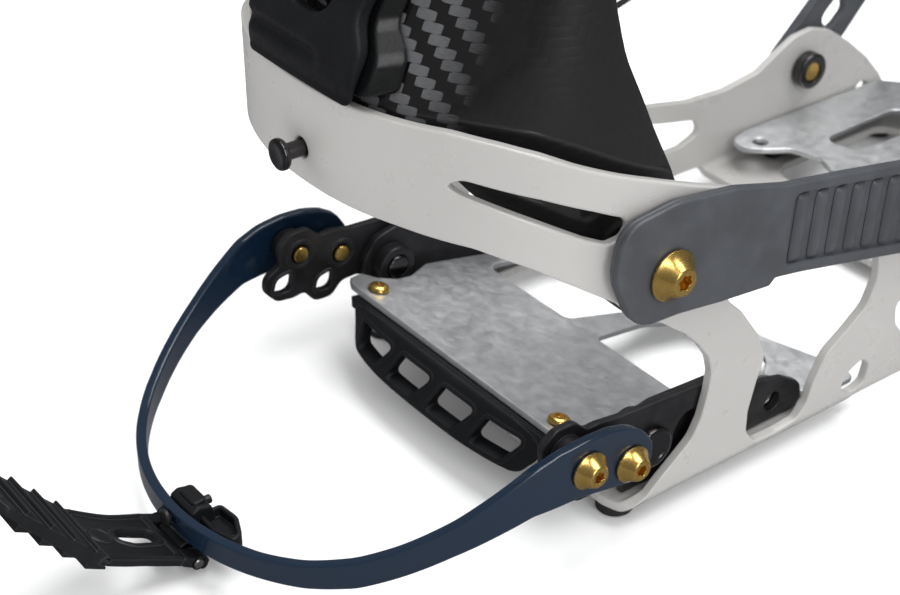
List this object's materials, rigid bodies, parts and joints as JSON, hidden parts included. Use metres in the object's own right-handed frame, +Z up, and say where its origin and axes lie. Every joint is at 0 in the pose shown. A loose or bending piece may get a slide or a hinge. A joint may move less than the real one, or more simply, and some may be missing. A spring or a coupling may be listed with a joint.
{
  "type": "splitboard binding",
  "caption": "Soft-boot splitboard binding: folded grey frame with heel loop, wide swinging lever bail, carbon highback, ankle and toe straps.",
  "frame": {"origin": "centre of the overall box in X and Y, at its lowest face, which is the underside of the foot pads. The frame's own centreline lies 13.3 mm towards +X, because the padded straps stand out on the -X side", "axes": "+X to the side with the toothed ankle tongue, +Y to the toe, +Z up"},
  "size_m": [0.1512, 0.3586, 0.2258],
  "materials": {
    "frame_paint": "warm grey gloss powder coat",
    "navy_paint": "dark navy gloss coat",
    "gold_fasteners": "gold anodised, turned and polished",
    "black_hardware": "black anodised satin",
    "dark_metal": "dark plated, satin",
    "bare_steel": "machined",
    "bright_plate": "mottled satin sheet",
    "dark_plastic": "fine bead texture",
    "strap_plastic": "dark grey moulded",
    "black_rubber": "matte",
    "carbon_shell": "clear coated twill laminate",
    "strap_padding": "woven cover over foam"
  },
  "bodies": {
    "frame": {"base_frame": "frame_paint", "heel_loop": "frame_paint", "latch_post": "dark_metal", "strap_bolt_right": "gold_fasteners", "strap_bolt_left": "gold_fasteners", "strap_nut_right": "black_hardware", "strap_nut_left": "black_hardware", "pivot_pin_right": "bare_steel", "pivot_pin_left": "bare_steel", "pivot_bush_right": "black_hardware", "pivot_bush_left": "black_hardware", "side_rail_right": "black_hardware", "side_rail_left": "black_hardware", "link_lug_right": "bare_steel", "link_lug_left": "bare_steel", "heel_plate": "bright_plate", "plate_screw_right": "gold_fasteners", "plate_screw_left": "gold_fasteners", "heel_pad": "dark_plastic", "foot_pad_rear_right": "black_rubber", "foot_pad_rear_left": "black_rubber", "foot_pad_front_right": "black_rubber", "foot_pad_front_left": "black_rubber", "toe_plate": "bright_plate", "toe_spacer_right": "dark_plastic", "toe_spacer_left": "dark_plastic", "toe_bolt_right": "gold_fasteners", "toe_bolt_left": "gold_fasteners", "toe_nut_right": "black_hardware", "toe_nut_left": "black_hardware"},
    "lever": {"lever_bail": "navy_paint", "lever_plate_right": "black_hardware", "lever_plate_left": "black_hardware", "bail_bolt_rear_right": "gold_fasteners", "bail_bolt_front_right": "gold_fasteners", "bail_bolt_rear_left": "gold_fasteners", "bail_bolt_front_left": "gold_fasteners", "latch_block": "black_hardware", "latch_screw": "black_hardware", "latch_pin": "bare_steel"},
    "latch": {"latch_strap": "dark_plastic"},
    "highback": {"highback_shell": "carbon_shell", "highback_pad": "strap_padding", "lean_base": "dark_plastic", "lean_screw": "dark_metal"},
    "lean_adjuster": {"lean_block": "dark_plastic"},
    "ankle_tongue": {"ankle_ladder": "strap_plastic"},
    "ankle_strap": {"ankle_arm": "strap_plastic", "ankle_pad": "strap_padding", "ankle_pad_screw": "gold_fasteners", "ankle_buckle_frame": "dark_metal", "ankle_buckle_pin": "bare_steel"},
    "ankle_ratchet": {"ankle_buckle_lever": "dark_metal"},
    "toe_strap": {"toe_connector": "strap_plastic", "toe_pad": "strap_padding", "toe_pad_screw": "gold_fasteners", "toe_buckle_frame": "dark_metal", "toe_buckle_pin": "bare_steel"},
    "toe_ratchet": {"toe_buckle_lever": "dark_metal"},
    "toe_tongue": {"toe_ladder": "strap_plastic"}
  },
  "joints": [
    {"name": "lever_hinge", "type": "hinge", "parent": "frame", "child": "lever", "pos_m": [0.01327, -0.05245, 0.0187], "axis": [-1, 0, 0], "range_deg": [0, 46]},
    {"name": "latch_hinge", "type": "hinge", "parent": "lever", "child": "latch", "pos_m": [0.01327, -0.13965, 0.0034], "axis": [-1, 0, 0], "range_deg": [-10, 18]},
    {"name": "highback_hinge", "type": "hinge", "parent": "frame", "child": "highback", "pos_m": [0.01327, -0.05845, 0.0672], "axis": [-1, 0, 0], "range_deg": [0, 70]},
    {"name": "lean_slide", "type": "slide", "parent": "highback", "child": "lean_adjuster", "axis": [0, 0.4305, 0.9026], "range_m": [0, 0.006]},
    {"name": "ankle_tongue_hinge", "type": "hinge", "parent": "frame", "child": "ankle_tongue", "pos_m": [0.07007, -0.05845, 0.0672], "axis": [1, 0, 0], "range_deg": [0, 60]},
    {"name": "ankle_strap_hinge", "type": "hinge", "parent": "frame", "child": "ankle_strap", "pos_m": [-0.04353, -0.05845, 0.0672], "axis": [1, 0, 0], "range_deg": [0, 60]},
    {"name": "ankle_ratchet_hinge", "type": "hinge", "parent": "ankle_strap", "child": "ankle_ratchet", "pos_m": [-0.06773, 0.03513, 0.08035], "axis": [0, 0.1392, -0.9903], "range_deg": [0, 80]},
    {"name": "toe_strap_hinge", "type": "hinge", "parent": "frame", "child": "toe_strap", "pos_m": [-0.04093, 0.09825, 0.0267], "axis": [1, 0, 0], "range_deg": [-30, 10]},
    {"name": "toe_ratchet_hinge", "type": "hinge", "parent": "toe_strap", "child": "toe_ratchet", "pos_m": [-0.06113, 0.15362, 0.07655], "axis": [0, 0.6691, -0.7431], "range_deg": [0, 80]},
    {"name": "toe_tongue_hinge", "type": "hinge", "parent": "frame", "child": "toe_tongue", "pos_m": [0.06737, 0.09825, 0.0267], "axis": [1, 0, 0], "range_deg": [-25, 40]}
  ]
}
